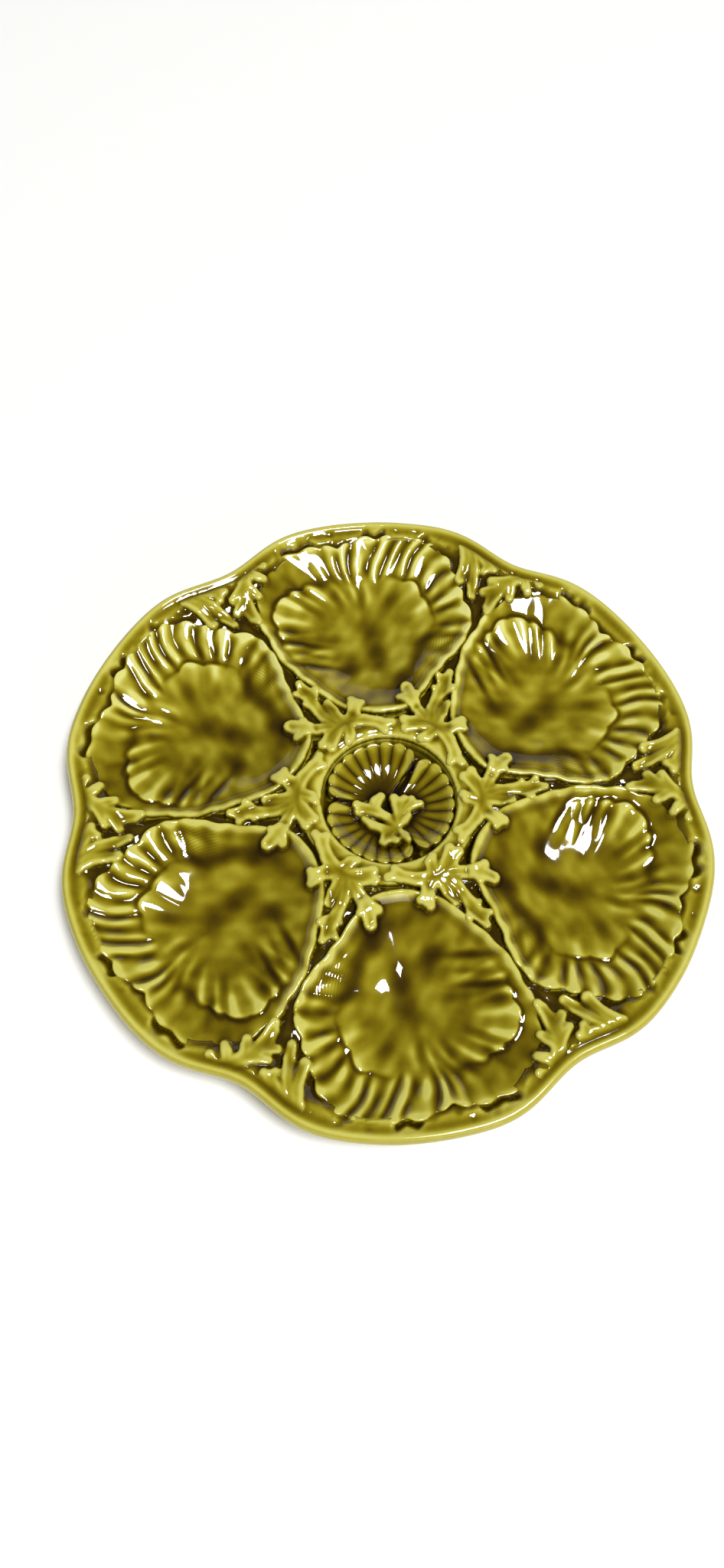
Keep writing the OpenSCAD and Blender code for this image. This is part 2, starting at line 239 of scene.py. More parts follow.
# ---- shell wells ----
# Plan of a well from its middle, every 15 degrees from the outward direction to the right
WELL_MIDDLE = (-4.0, 76.0)
REACH = (38.5, 40.5, 44.3, 46, 43.4, 41.5, 42.3, 39.3, 36.3, 35.3, 38.2, 41,
         40.8, 39.8, 36.9, 35.8, 36.8, 38.2, 41.2, 44, 44.5, 44.5, 40.5, 36.8)
# Where the inner layer of the shell ends, and how far it stands above the frill round it
LAYER = (21, 22.5, 26, 28.5, 27.6, 26.8, 26, 25, 25, 24, 24, 24,
         24, 24, 25, 27, 30, 33, 35, 36.4, 33.2, 28.6, 24.2, 21.5)
STEP = (0.1, 0.15, 0.5, 0.9, 0.9, 0.7, 0.3, 0.05, 0, 0, 0, 0,
        0, 0, 0, 0, 0.05, 0.4, 1.2, 1.3, 1.2, 0.6, 0.2, 0.1)
# Grooves of the frill and of the inner layer: direction in degrees, and depth
FRILL_GROOVES = (
    (-178, 0.0), (-160, 0.1), (-144, 0.2), (-118, 0.2), (-94, 0.2), (-80, 0.2), (-66, 0.25),
    (-52, 0.35), (-38, 0.45), (-26, 0.6), (-16, 0.8), (-7.5, 1.3), (9, 1.3), (19.5, 1.3),
    (28, 0.8), (37, 1.2), (47, 1.0), (57, 1.4), (67, 1.1), (77, 1.4), (89, 1.0), (101, 0.6),
    (114, 0.3), (130, 0.2), (160, 0.0),
)
INNER_GROOVES = (
    (-170, 0.0), (-140, 0.0), (-123, 0.2), (-111, 0.5), (-99, 0.7), (-88, 0.8), (-77, 0.7),
    (-65, 0.8), (-52, 0.7), (-37, 0.6), (-21, 0.5), (-4, 0.5), (17, 0.5), (38, 0.6), (57, 0.5),
    (78, 0.4), (105, 0.2), (135, 0.0),
)
# Hollows of the clay that the glaze has filled: middle, half length, half width, heading in degrees
# from +X to the left, and depth
HOLLOWS = (
    (0, 66, 7.5, 3.6, 92, 1.0), (-3, 78, 6.5, 4.5, 10, 0.5), (-12, 58, 5.5, 3.6, 60, 0.9),
    (-20, 73, 6.5, 2.6, 0, 0.7), (-33, 74.5, 4, 2.4, 0, 0.7), (15.5, 61, 10, 2.8, 66, 1.0),
    (23, 72.5, 6.5, 2, 28, 0.8), (9, 52, 4.5, 3.6, 0, 0.8), (-20, 98, 5, 2.8, 5, 0.8),
    (-29, 93, 4.5, 2, 140, 0.8), (-26, 86, 6, 2, 152, 0.5), (-14, 90, 6, 2, 112, 0.5),
    (-5, 90, 6, 2.2, 97, 0.4), (6, 88, 5, 2.6, 78, 0.4), (13, 81, 5, 2.6, 20, 0.4),
    (2, 47, 9, 4, 0, 0.6), (-25, 59, 8, 1.5, 176, 1.3), (-29, 69.6, 8.5, 1.4, 178, 1.3),
    (-24, 64.5, 6, 1.3, 174, 0.5), (27, 66, 6, 1.4, 35, 0.5),
)
# Dimples of the floor, from the well's middle: place, depth, half width
DIMPLES = ((4.1, -14.6, 0.5, 6.0), (13.0, -8.0, 0.45, 4.8))
# How the bowl climbs, and how wide and how deep its lip is rounded off
BOWL_POWER, LIP_ROUND, LIP_ROUND_H = 1.9, 1.2, 0.8
# Heights of folds, ribs and fine lines, and the lines' spacing
FOLD_H, RIB_H, LINE_H, LINE_PITCH = 1.3, 1.3, 0.16, 1.1
# Direction of the bar over the hinge in degrees, and its half length
BAR_AT, BAR_HALF = 176, 10.5
# How much of each form of the clay still shows on the glaze over it
SHOWN_LAYER, SHOWN_FOLDS, SHOWN_RIBS = 0.93, 0.5, 0.56
SHOWN_HOLLOWS, SHOWN_SOFT, SHOWN_LINES = 0.22, 0.12, 0.4
LIP_TRACK_R = 40


def lip_track(psi):
    """Point on a circle of about a well's size, where a ripple depends on the direction alone."""
    return LIP_TRACK_R * np.sin(psi), LIP_TRACK_R * np.cos(psi)


def shell_reach(psi):
    """Reach of the shell's lip without its ruffles."""
    return round_curve(REACH, psi)


def flank_share(psi):
    """1 along the flanks and the hinge, 0 along the ribbed end."""
    return ease(78, 108, np.abs((np.degrees(psi) + 180) % 360 - 180))


def shell_edge(psi):
    """Reach of the shell's ruffled lip."""
    rise, high = rib_wave(np.degrees(psi), FRILL_GROOVES)
    flank = flank_share(psi)
    x, y = lip_track(psi)
    frill = (1 - flank) * (0.9 * (rise - 0.6) * np.minimum(1, high) + 0.5 * ripple(x, y, 9, 61))
    return shell_reach(psi) + frill + 0.45 * flank * ripple(x, y, 11, 62)


def shell_top(rho, psi):
    """Heights of a well's glaze and of its clay, by distance and direction from its middle."""
    deg = np.degrees(psi)
    x, y = rho * np.sin(psi), rho * np.cos(psi)
    bent = deg + 2.5 * ripple(x, y, 26, 71)
    reach, layer, step = shell_reach(psi), round_curve(LAYER, psi), round_curve(STEP, psi)
    share = np.clip(rho / reach, 0, 1)
    lip = LIP_SIDE + (LIP_END - LIP_SIDE) * np.cos(psi) ** 2
    bowl = WELL_FLOOR + (lip - WELL_FLOOR) * share**BOWL_POWER
    flank = flank_share(psi)
    # the inner layer and its lobed edge
    rise, high = rib_wave(bent, INNER_GROOVES)
    layer = layer + 1.3 * (rise - 0.6) * np.minimum(1, high / 0.6) + 0.5 * ripple(x, y, 10, 72)
    fade = 0.6 + 3.4 * (1 - np.minimum(1, step / 0.9))
    inner = 1 - ease(layer - fade, layer + fade, rho)
    stand = ease(0.25, 1, rho / layer) ** 1.5 * step
    layers = inner * stand - 0.4 * np.minimum(1, step) * bump(rho, layer + 1.1, 0.8)
    levelled = (1 - ease(layer - fade - 1.2, layer + fade + 2.2, rho)) * stand
    folds = FOLD_H * inner * ease(0.45, 1, rho / layer) * high * (rise**2.8 - 0.36)
    # ribs of the frill
    rise, high = rib_wave(bent, FRILL_GROOVES)
    onset = ease(layer - 1, layer + 6.5 + 2.5 * ripple(x, y, 14, 73), rho)
    ribs = RIB_H * onset * high * (1 + 0.3 * ripple(x, y, 9, 74)) * (rise**1.5 - 0.55)
    # rolled lip along the flanks, and the bar over the hinge
    rolled = flank * (0.55 * bump(rho, reach - 1.4, 1.2) - 0.35 * bump(rho, reach - 4.4, 1.6))
    bar = np.exp(-((reach * np.radians(deg % 360 - BAR_AT) / BAR_HALF) ** 4))
    rolled = rolled + bar * bump(rho, reach - 2.1, 3.2)
    # hollows of the floor
    sunk = 0.0
    for hx, hy, length, width, heading, depth in HOLLOWS:
        c, s = math.cos(math.radians(heading)), math.sin(math.radians(heading))
        dx, dy = x + WELL_MIDDLE[0] - hx, y + WELL_MIDDLE[1] - hy
        along, across = (dx * c + dy * s) / length, (dy * c - dx * s) / width
        sunk = sunk + depth * np.exp(-(along**2) - across**2)
    soft = 0.16 * ripple(x, y, 14, 4) + 0.1 * ripple(x, y, 7, 5)
    # fine lines on the two flanks
    lines = ease(93, 99, deg % 360) * (1 - ease(118, 126, deg % 360))
    lines = lines + 0.7 * ease(222, 228, deg % 360) * (1 - ease(246, 252, deg % 360))
    lines = lines * ease(0.62, 0.74, share) * (1 - ease(0.88, 0.95, share))
    lines = LINE_H * lines * np.sin(TAU * rho * psi / LINE_PITCH)
    edge = np.clip((rho - (reach - LIP_ROUND)) / LIP_ROUND, 0, 1)
    rounded = LIP_ROUND_H * (1 - np.sqrt(1 - edge**2))
    clay = bowl + layers + folds + ribs + rolled - sunk + soft + lines - rounded
    glazed = bowl + SHOWN_LAYER * levelled + SHOWN_FOLDS * folds + SHOWN_RIBS * ribs + rolled
    glazed = glazed - SHOWN_HOLLOWS * sunk + SHOWN_SOFT * soft + SHOWN_LINES * lines - rounded
    dimpled = sum(depth * np.exp(-((x - dx) ** 2 + (y - dy) ** 2) / width**2)
                  for dx, dy, depth, width in DIMPLES)
    return glazed - dimpled, clay - dimpled


def shell_mesh():
    """Well of the first lobe, with the thickness of the glaze that has filled its clay."""
    n, rows = 540, 104
    psi = np.arange(n) * TAU / n
    reach, lobed = shell_reach(psi), shell_edge(psi)

    def loop(rho, z):
        rho = rho * np.ones(n)
        return np.column_stack([
            WELL_MIDDLE[0] + rho * np.sin(psi), WELL_MIDDLE[1] + rho * np.cos(psi), z * np.ones(n),
        ])

    loops, pooled = [], [np.zeros(1)]
    for s in np.linspace(0, 1, rows + 1)[1:]:
        glazed, clay = shell_top(reach * s, psi)
        drawn = reach + (lobed - reach) * ease(0.6, 1, s)
        loops.append(loop(drawn * s, glazed))
        pooled.append(glazed - clay)
    edge_z = loops[-1][:, 2]
    seat = reach - LIP_OVER - SEAT_GAP
    loops += [
        loop(lobed + 0.1, edge_z - 0.7),
        loop(lobed - 0.1, (edge_z + GROUND) / 2),
        loop(lobed - 0.3, GROUND + 0.1),
        loop(seat, GROUND + 0.05),
        loop(seat, (GROUND + WEB) / 2),
        loop(seat, WEB),
    ]
    under = (  # share of the seat, height
        (0.96, 7.9), (0.9, 6.9), (0.83, 6.0), (0.74, 5.1), (0.64, 4.3), (0.56, 3.8),
        (0.5, FOOT_TOP), (0.25, FOOT_TOP),
    )
    loops += [loop(seat * s, z) for s, z in under]
    middle = np.array([*WELL_MIDDLE, 0.0])
    floor, clay = shell_top(np.zeros(1), np.zeros(1))
    pooled[0] = floor - clay
    mesh = pole_skin("shell", middle + [0, 0, floor[0]], loops, middle + [0, 0, FOOT_TOP])
    return store(mesh, "pooled", np.concatenate(pooled))


# ---- body with its ground and rolled rim ----
# Rolled rim: where its crest lies in from the edge, and its points by distance in and height, on
# the way from the ground over the lip to the underside
RIM_CREST_IN = 2.4
RIM_PROFILE = (
    (5.4, 18.4), (4.6, 18.9), (3.8, 19.35), (3.0, 19.7), (RIM_CREST_IN, 19.92),
    (1.8, 19.9), (1.2, 19.6), (0.6, 19.0), (0.1, 18.0), (0.0, 17.0),
    (0.4, 16.0), (1.4, 14.9), (2.9, 13.2), (4.4, 11.3), (5.5, 9.9),
)


def nearest_well(x, y):
    """Distance and direction from the middle of the nearest well."""
    turn, r = np.arctan2(x, y), np.hypot(x, y)
    turn = turn - SECTOR * np.round((turn + WELL_LEAN) / SECTOR)
    dx, dy = r * np.sin(turn) - WELL_MIDDLE[0], r * np.cos(turn) - WELL_MIDDLE[1]
    return np.hypot(dx, dy), np.arctan2(dx, dy)


def ground_z(x, y):
    """Height of the ground, which climbs to the rim and sinks into pockets beside the lips."""
    rho, psi = nearest_well(x, y)
    beside = np.maximum(0, rho - shell_edge(psi) - 0.2)
    open_share = ease(-0.1, 0.6, ripple(*lip_track(psi), 19, 82))
    ledge = ease(LEDGE_START, LEDGE_END, in_from_edge(x, y))
    ruffle = ledge * ease(0.2, 1.6, beside) * ripple(x, y, 5.5, 25)
    height = GROUND + GROUND_LIFT + 0.1 * ripple(x, y, 6, 21)
    height = height + ledge * (LEDGE_H + 0.3 * ripple(x, y, 11, 23)) + 0.45 * ruffle
    depth, width = (0.3 + 0.7 * ledge) * (0.6 + 3.0 * open_share), 0.9 + 1.3 * open_share
    pocket = depth * np.exp(-((beside / width) ** 2))
    return np.minimum(height - pocket, GROUND_MOST)


def body_mesh():
    """Dish with its openings for the wells and the cup, and its rolled rim."""
    step = 0.7
    seat = LIP_OVER - OPENING_GAP

    def field(x, y):
        rim = RIM_BAND - in_from_edge(x, y)
        cup = CUP_R + CUP_WALL + OPENING_GAP - np.hypot(x, y)
        rho, psi = nearest_well(x, y)
        return np.maximum(np.maximum(rim, cup), shell_reach(psi) - seat - rho)

    limit = PLATE_R + 1
    plan, quads, edge = region(field, (-limit, -limit), (limit, limit), step)
    x, y = plan[:, 0], plan[:, 1]
    n = len(plan)
    outer = in_from_edge(x, y) < RIM_BAND + 0.2 * step
    top = ground_z(x, y)
    points = [np.column_stack([plan, top]), np.column_stack([plan, np.full(n, WEB)])]
    faces = [tuple(q) for q in quads.tolist()]
    faces += [tuple(n + i for i in reversed(q)) for q in quads.tolist()]
    follow = {a: b for a, b in edge if outer[a] and outer[b]}
    faces += [(b, a, n + a, n + b) for a, b in edge if not (outer[a] and outer[b])]
    # the rolled rim goes round the outer edge, from the ground over the lip to the underside
    start = min(follow)
    loop = [start]
    while follow[loop[-1]] != start:
        loop.append(follow[loop[-1]])
    loop = np.array(loop)
    turn = np.arctan2(x[loop], y[loop])
    count = len(loop)
    rings = [loop]
    total = 2 * n
    for inset, z in RIM_PROFILE:
        r = plate_edge(turn) - inset
        cx, cy = r * np.sin(turn), r * np.cos(turn)
        joined = ease(RIM_CREST_IN, RIM_BAND, inset) if z > GROUND else 0.0
        height = z + joined * (ground_z(cx, cy) - z)
        points.append(np.column_stack([cx, cy, np.minimum(height, RIM_H)]))
        rings.append(np.arange(total, total + count))
        total += count
    rings.append(n + loop)
    for a, b in zip(rings, rings[1:]):
        nxt_a, nxt_b = np.roll(a, -1), np.roll(b, -1)
        faces += np.stack([nxt_a, a, b, nxt_b], 1).tolist()
    return mesh_from("body", np.concatenate(points), faces)


# ---- cup, ring, foot and fans ----

def turned(name, profile, n):
    """Ring turned from a closed profile of radius and height."""
    sections = []
    for k in range(n):
        a = k * TAU / n
        sections.append(np.array([(r * np.cos(a), r * np.sin(a), z) for r, z in profile]))
    return ring_skin(name, sections)


def cup_mesh():
    """Cup with a rounded mouth and a flange."""
    n, under = 240, 4.0
    turn = np.arange(n) * TAU / n
    profile = (  # radius, height; from the floor over the flange to the underside
        (6, CUP_FLOOR), (14, CUP_FLOOR), (22, CUP_FLOOR), (24.2, CUP_FLOOR + 0.5),
        (CUP_R, CUP_FLOOR + 1.6), (CUP_R, 12.0), (CUP_R, FLANGE_TOP - 0.4),
        (CUP_R + 0.4, FLANGE_TOP), (FLANGE_R - 0.6, FLANGE_TOP), (FLANGE_R, FLANGE_TOP - 0.6),
        (FLANGE_R, GROUND), (CUP_R + CUP_WALL, GROUND), (CUP_R + CUP_WALL, 8.5), (27.4, 7.0),
        (CUP_R, 5.4), (23, 4.5), (CUP_R - 4, under), (12, under),
    )
    loops = [
        np.column_stack([r * np.sin(turn), r * np.cos(turn), np.full(n, z)]) for r, z in profile
    ]
    return pole_skin("cup", (0, 0, CUP_FLOOR), loops, (0, 0, under))


def ring_mesh():
    """Twig ring: a low rounded band with the soft swellings of modelled clay."""
    sections = []
    across = np.radians(np.linspace(0, 180, 25))
    n = 480
    for k in range(n):
        a = k * TAU / n
        c, s = np.cos(a), np.sin(a)
        r = RING_R + RING_HALF * np.cos(across)
        swell = ripple(r * c, r * s, 7, 41)
        z = FLANGE_TOP + (RING_TOP - FLANGE_TOP) * np.sin(across) ** 0.8 * (1 + 0.07 * swell)
        z = z - 0.35 * bump(r, RING_R - 2.2, 0.7) * np.sin(across)
        sections.append(np.column_stack([r * c, r * s, z]))
    return ring_skin("ring", sections)


def foot_mesh():
    """Foot with rounded edges, wider at its top."""
    half, top = FOOT_W / 2, FOOT_W * 0.75
    profile = [(FOOT_R + dx, z) for dx, z in (
        (-half + 0.7, 0.0), (half - 0.7, 0.0), (half - 0.2, 0.2), (half, 0.7), (half + 0.3, 1.6),
        (top, FOOT_TOP), (-top, FOOT_TOP), (-half - 0.3, 1.6), (-half, 0.7), (-half + 0.2, 0.2),
    )]
    return turned("foot", profile, 240)


def fan_mesh():
    """Scallop fan along +X, dished from its hinge up to the cup's wall, with round rib ends."""
    fine, wall, least = 16, CUP_R - 0.4, 0.35
    steps = FAN_RIBS * fine
    out = np.linspace(0.08, 1, 44)
    dish = FAN_T + (FAN_RISE - FAN_T) * out**2.8
    ribbed = ease(0.3, 0.72, out)
    rounded = 1.1 * np.clip((out - 0.93) / 0.07, 0, 1) ** 2
    line = 0.16 * bump(out, 0.9, 0.018)
    sections, filled = [], []
    for k in range(steps + 1):
        way = -FAN_SPREAD + 2 * FAN_SPREAD * k / steps
        rise = abs(math.sin(math.pi * k / fine))
        reach = math.sqrt(wall**2 - (FAN_HINGE * math.sin(way)) ** 2) - FAN_HINGE * math.cos(way)
        reach *= (0.965 + 0.035 * rise**0.6) * (1 - 0.2 * abs(way / FAN_SPREAD) ** 7)
        groove = 1.1 * (rise**0.5 - 0.8) * ribbed
        top = np.maximum(dish + 0.45 * groove - rounded - line, least)
        filled.append(np.concatenate([[0.0, 0.0], -groove[::-1]]))
        shares = np.concatenate([[out[0], 1.0], out[::-1]])
        heights = np.concatenate([[0.0, 0.0], top[::-1]])
        c, s = math.cos(way), math.sin(way)
        sections.append(np.column_stack([
            FAN_HINGE + reach * shares * c, reach * shares * s, CUP_FLOOR + heights,
        ]))
    return store(row_skin("fan", sections), "pooled", np.concatenate(filled))


# ---- seaweed ----
# Where the sprigs climb from the ground onto the twig ring: distances from the plate's centre
CLIMB_START, CLIMB_END = 45, 34
# Fronds as strokes of (x, y, half width)
RING_FRONDS = (
    ((13.5, 29.4, 2.6), (18, 30, 3.0), (21, 27.5, 2.6)),
    ((16, 32, 2.2), (13.2, 36.5, 2.2), (11, 41, 3.0)),
    ((11, 41, 2.8), (6.9, 42, 1.7)),
    ((10.6, 42, 2.8), (9.9, 46.8, 2.3)),
    ((11.5, 41, 2.6), (13.3, 42.8, 1.6)),
    ((17.8, 30.5, 2.4), (19, 37, 2.1), (22, 43, 2.3), (25, 48.2, 2.4), (27.2, 52, 1.4)),
    ((22.4, 44.2, 1.9), (20.7, 45.8, 1.1)),
    ((24.4, 47.8, 2.0), (22.8, 50.8, 1.3)),
    ((23.2, 44, 2.0), (27.6, 45.3, 1.4)),
    ((20, 30.5, 2.4), (22.4, 34.6, 2.1), (24.6, 38.6, 1.4)),
    ((20, 28, 2.4), (25, 27.4, 2.4), (28.6, 28.9, 2.7)),
    ((28.6, 28.8, 2.5), (30.2, 31, 1.7)),
    ((28.4, 28.4, 2.3), (30.4, 26.8, 1.4)),
    ((16.5, 29.5, 2.6), (11.5, 30, 3.0), (7.8, 31.5, 2.0)),
    ((11.5, 29.6, 2.8), (8, 28, 1.9)),
    ((19.5, 27, 2.4), (16, 24.3, 2.1), (13.4, 23.8, 1.5)),
    ((20.5, 27, 2.4), (24, 22.4, 2.4), (25.6, 17, 2.3), (24, 13.6, 1.5)),
    ((25.6, 15.6, 2.2), (28, 12.6, 1.5)),
)
RIM_FRONDS = (
    ((38, 108, 2.2), (42, 106, 2.4), (47, 102.4, 2.4), (54, 98.4, 2.2), (60.5, 94.6, 2.2),
     (66, 92.6, 1.8)),
    ((38.4, 107.5, 2.3), (38.2, 102, 2.3), (36.8, 97.6, 2.1), (35.2, 94.2, 2.2)),
    ((41, 105, 2.2), (41.2, 98, 2.1), (40.2, 92, 2.1), (39.4, 87.2, 1.7)),
    ((43.4, 105.5, 2.3), (46, 101.4, 2.7), (47.2, 98.4, 2.7)),
    ((47, 98.4, 2.4), (45, 96.4, 1.6)),
    ((47.4, 98.2, 2.4), (49, 96.6, 1.7)),
    ((56, 98, 2.2), (54, 96.8, 1.9)),
    ((64, 93.4, 2.2), (58, 92.2, 2.6), (52, 89.8, 3.0), (48, 85.8, 2.8), (45.6, 81.6, 2.2),
     (44.8, 79.4, 1.7)),
    ((52, 90.8, 2.5), (47.4, 92.2, 1.5)),
    ((49, 88, 2.5), (44.2, 88.4, 1.7)),
    ((55, 90.4, 2.5), (54.6, 87, 2.1), (54.4, 84.6, 1.7)),
    ((61, 93, 2.1), (61.2, 88.6, 1.9), (61.8, 86.2, 1.6)),
    ((65.8, 92.4, 1.9), (66.8, 89.2, 1.7)),
)
CENTRE_FRONDS = (
    ((2.4, -9.6, 1.7), (3.2, -4.6, 1.9), (3.5, -0.6, 2.6), (2.2, 2.6, 2.1)),
    ((3.5, -0.4, 2.3), (6, 2.0, 2.0)),
    ((3.6, -4.6, 1.7), (6.9, -1.7, 2.2), (9, -0.1, 2.4), (8.8, 1.9, 1.8)),
    ((8.4, -0.4, 2.1), (11.8, -0.2, 1.8)),
    ((3.5, -8.8, 1.4), (5.4, -6.6, 2.0), (7, -4.8, 1.8)),
    ((2, -9, 1.6), (-0.9, -4.9, 2.0), (-4.1, -2.9, 2.4), (-7.6, -1.7, 2.6), (-11.6, 0.2, 2.2)),
    ((-8.6, -1.6, 2.1), (-11.4, -2.6, 1.8)),
    ((-5, -1.6, 1.9), (-4.6, 1.4, 2.6), (-2.7, 3.3, 2.1)),
    ((1.3, -9.9, 1.6), (-2.7, -9.5, 2.1), (-6.6, -7.6, 2.1), (-9.4, -5.1, 1.6)),
    ((1.1, -10.8, 2.0), (-1.2, -12.6, 2.9), (-2.8, -15, 2.2)),
    ((-0.8, -12.8, 2.3), (1.6, -14.8, 1.9)),
    ((3.2, -10.7, 1.6), (5.1, -13, 1.9), (6.1, -15.4, 1.5)),
)


def frond_field(strokes, plump):
    """Distance from the outline of joined strokes, below 0 inside; plump adds to half widths."""
    far, blend = 50.0, 0.6

    def field(x, y):
        near = np.full(np.shape(x), far)
        for stroke in strokes:
            for (ax, ay, ar), (bx, by, br) in zip(stroke, stroke[1:]):
                ux, uy = bx - ax, by - ay
                t = np.clip(((x - ax) * ux + (y - ay) * uy) / (ux * ux + uy * uy), 0, 1)
                d = np.hypot(x - ax - t * ux, y - ay - t * uy) - (ar + t * (br - ar)) - plump
                h = np.clip(0.5 + 0.5 * (d - near) / blend, 0, 1)
                near = d + (near - d) * h - blend * h * (1 - h)
        return near

    return field


def frond_mesh(name, strokes, plump, ground, thick, lowest=(0.0, 0.0)):
    """Flat fronds with rounded edges, laid over the relief and cut short of the plate's edge.

    Their bed is no lower than the two heights in lowest: out on the ground, and from the twig ring
    inwards.
    """
    step, margin, sunk, root = 0.34, 4, 0.3, 0.7
    field = frond_field(strokes, plump)

    def on_plate(x, y):
        return np.maximum(field(x, y), SPRIG_EDGE - in_from_edge(x, y))

    spots = np.array([p for s in strokes for p in s])
    low, high = spots[:, :2].min(0) - margin, spots[:, :2].max(0) + margin
    plan, quads, edge = region(on_plate, low, high, step)
    x, y = plan[:, 0], plan[:, 1]
    inside = np.maximum(0, -field(x, y))
    roll = np.sqrt(1 - (1 - np.minimum(inside / SPRIG_ROUND, 1)) ** 2)
    low_out, low_in = lowest
    climb = ease(CLIMB_START, CLIMB_END, np.hypot(x, y))
    bed = np.maximum(ground.bed(x, y), low_out + (low_in - low_out) * climb)
    here = ground.at(x, y)
    top = bed + thick * roll - 0.15 * ease(1.4, 2.6, inside) + 0.1 * ripple(x, y, 6, 51)
    top = np.minimum(np.maximum(top, here + 0.3 * roll), SPRIG_MOST)
    # towards the plate's edge they sink into the rim
    top = here - sunk + (top - here + sunk) * ease(3.2, 8.5, in_from_edge(x, y))
    return slab(name, plan, quads, edge, top, np.minimum(here, top) - root)


# ---- height of the finished relief, for laying fronds and pooling glaze ----
# Margin of the map round the plate, and the height that its rays start from
MAP_MARGIN, RAY_TOP = 2, 40
# How far the bed of the fronds spans over hollows, and how far it is softened
BED_SPAN, BED_SOFT = 2.0, 1.4
# Thickness of the glaze: on a plain face, where it isn't seen, on the rim's edge, least and most
GLAZE_PLAIN, GLAZE_HIDDEN, GLAZE_EDGE, GLAZE_LEAST, GLAZE_MOST = 0.95, 0.75, 0.6, 0.35, 2.8
# Glaze that gathers in hollows: a hollow's radius, and thickness for each millimetre of its depth;
# then the thickness for each millimetre that glaze has filled
POOLS = ((0.7, 1.2), (1.8, 0.9), (5.0, 0.05))
POOLED_GAIN = 1.25


def blur(grid, radius):
    """Gaussian blur of a square grid, radius in cells."""
    pad = 24
    m = grid.shape[0] + 2 * pad
    f = np.fft.rfft2(np.pad(grid, pad, mode="edge"))
    ky = np.fft.fftfreq(m)[:, None]
    kx = np.fft.rfftfreq(m)[None, :]
    f *= np.exp(-2 * (np.pi * radius) ** 2 * (kx * kx + ky * ky))
    return np.fft.irfft2(f, (m, m))[pad:-pad, pad:-pad]


def highest(grid, reach):
    """Highest value within this many cells along both ways of a grid."""
    for axis in (0, 1):
        best = grid
        for k in range(1, reach + 1):
            best = np.maximum(best, np.maximum(np.roll(grid, k, axis), np.roll(grid, -k, axis)))
        grid = best
    return grid


class Relief:
    """Map of the height seen from above, over the whole plate."""

    def __init__(self, pieces, step):
        points, faces, start = [], [], 0
        for o in pieces:
            mesh = o.data
            mesh.calc_loop_triangles()
            tri = np.empty(len(mesh.loop_triangles) * 3, np.int32)
            mesh.loop_triangles.foreach_get("vertices", tri)
            points.append(points_of(mesh))
            faces.append(tri.reshape(-1, 3) + start)
            start += len(mesh.vertices)
        tree = BVHTree.FromPolygons(np.concatenate(points).tolist(), np.concatenate(faces).tolist())
        self.step, self.low = step, -PLATE_R - MAP_MARGIN
        n = int(2 * (PLATE_R + MAP_MARGIN) / step) + 1
        at = self.low + np.arange(n) * step
        down = Vector((0, 0, -1))
        grid = np.full((n, n), np.nan)
        for j, y in enumerate(at.tolist()):
            for i, x in enumerate(at.tolist()):
                hit = tree.ray_cast(Vector((x, y, RAY_TOP)), down)[0]
                if hit is not None:
                    grid[j, i] = hit.z
        self.there = (~np.isnan(grid)).astype(float)
        self.grid = np.nan_to_num(grid, nan=0.0)
        self.bed_grid = blur(highest(self.grid, int(BED_SPAN / step)), BED_SOFT / step)

    def smoothed(self, radius):
        """Mean height round each point, over the plate alone."""
        cells, least_weight = radius / self.step, 0.02
        weight = np.maximum(blur(self.there, cells), least_weight)
        return np.where(self.there > 0, blur(self.grid * self.there, cells) / weight, 0.0)

    def sample(self, grid, x, y):
        """Values of a grid between its points."""
        u = np.clip((x - self.low) / self.step, 0, grid.shape[0] - 1.001)
        v = np.clip((y - self.low) / self.step, 0, grid.shape[0] - 1.001)
        i, j = u.astype(int), v.astype(int)
        a, b = u - i, v - j
        return ((grid[j, i] * (1 - a) + grid[j, i + 1] * a) * (1 - b)
                + (grid[j + 1, i] * (1 - a) + grid[j + 1, i + 1] * a) * b)

    def at(self, x, y):
        """Height of the relief."""
        return self.sample(self.grid, x, y)

    def bed(self, x, y):
        """Height of a cloth laid over the relief."""
        return self.sample(self.bed_grid, x, y)


